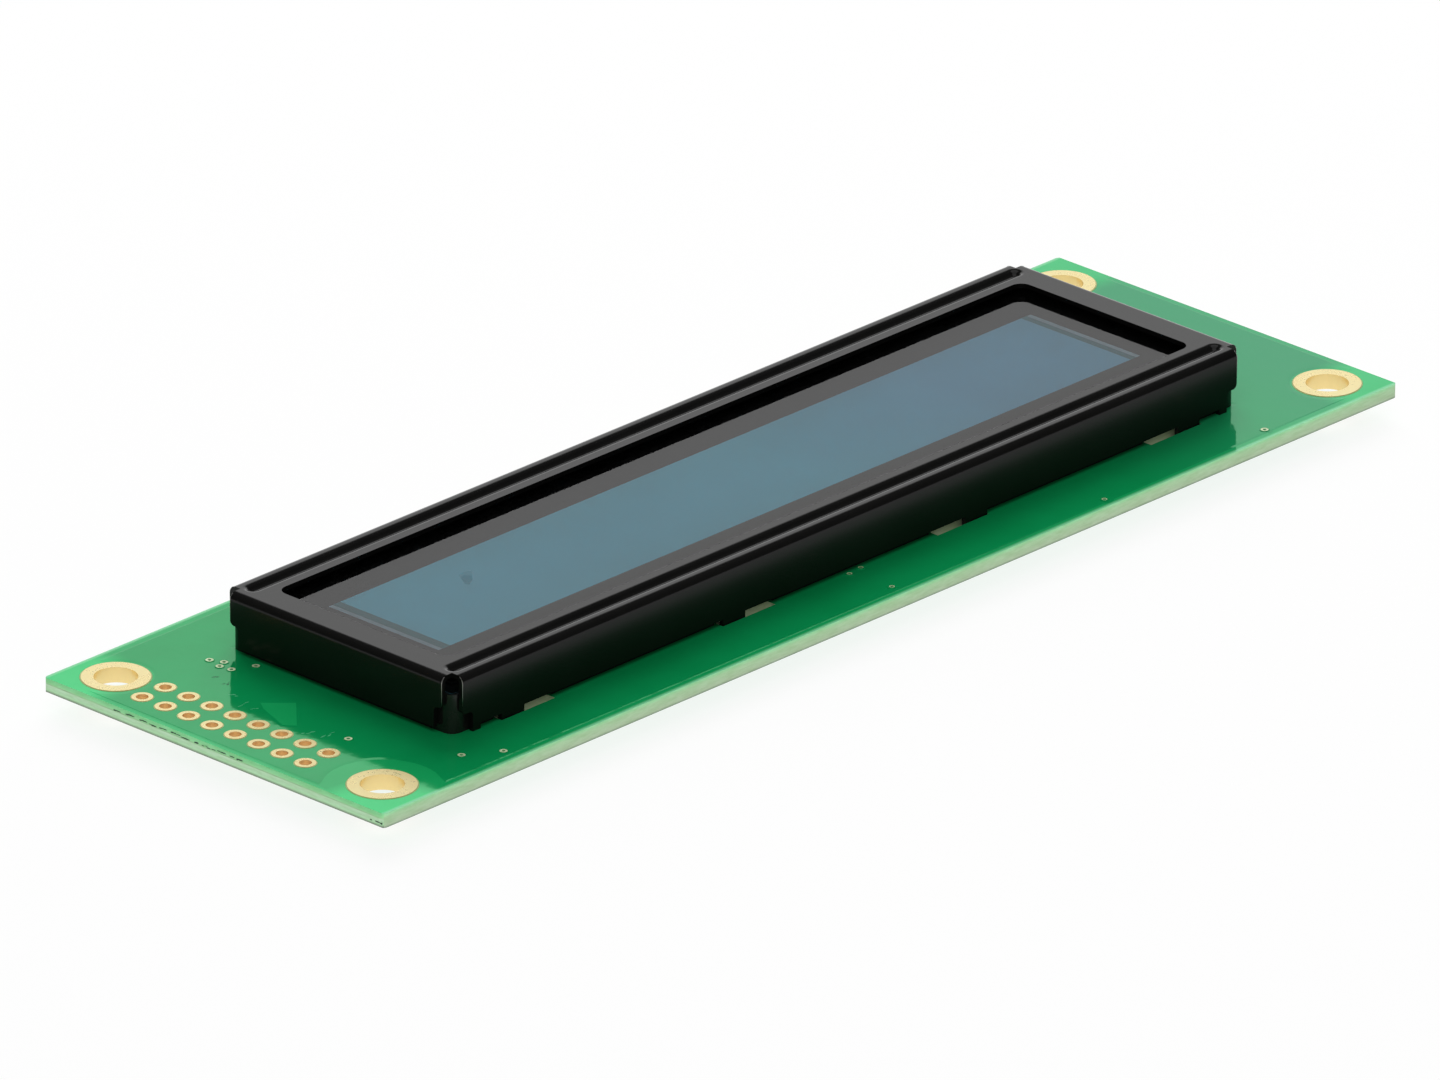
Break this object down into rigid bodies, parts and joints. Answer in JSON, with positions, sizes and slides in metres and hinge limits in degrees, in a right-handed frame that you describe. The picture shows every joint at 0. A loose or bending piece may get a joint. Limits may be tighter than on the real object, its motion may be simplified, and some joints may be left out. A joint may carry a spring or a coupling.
{
  "type": "character OLED display module",
  "caption": "Character OLED display module: glass panel under a black stamped steel bezel on a green circuit board with gold-plated mounting and header holes.",
  "frame": {"origin": "under the middle of the board, level with the lower ends of the bezel's tabs", "axes": "+X runs along the board away from the header, +Y across the board, +Z out of the display face"},
  "size_m": [0.116, 0.037, 0.0079],
  "materials": {
    "solder_mask": "glossy green mask over glass-fibre laminate",
    "gold_plating": "thin gold over nickel, satin",
    "black_plastic": "moulded, dull",
    "elastomer": "layered silicone, dull",
    "panel_glass": "polished",
    "desiccant": "dull sheet",
    "seal_glue": "cured glue",
    "pixel_film": "thin layers on glass",
    "bus_metal": "thin bright metal",
    "polarizer": "smooth neutral film",
    "bezel_paint": "satin black on sheet steel",
    "silicon": "polished",
    "chip_resin": "moulded resin, dull",
    "ferrite": "sintered, dull",
    "copper_wire": "enamelled",
    "tin_plating": "satin tin",
    "capacitor_ceramic": "fired ceramic",
    "solder": "smooth solder"
  },
  "bodies": {
    "root": {"circuit_board": "solder_mask", "mounting_hole_rings": "gold_plating", "header_hole_rings": "gold_plating", "via_rings": "gold_plating", "contact_fingers": "gold_plating", "panel_carrier": "black_plastic", "contact_strips": "elastomer", "cap_glass": "panel_glass", "desiccant_sheet": "desiccant", "edge_seal": "seal_glue", "pixel_layer": "pixel_film", "bus_bars": "bus_metal", "front_glass": "panel_glass", "polarizing_film": "polarizer", "bezel": "bezel_paint", "driver_chip": "silicon", "driver_cover": "chip_resin", "inductor_core": "ferrite", "inductor_winding": "copper_wire", "inductor_terminals": "tin_plating", "converter_chip": "chip_resin", "converter_leads": "tin_plating", "rectifier_body": "chip_resin", "rectifier_leads": "tin_plating", "capacitor_bodies": "capacitor_ceramic", "capacitor_ends": "tin_plating", "resistor_bodies": "chip_resin", "resistor_ends": "tin_plating", "solder_joints": "solder"}
  },
  "joints": []
}
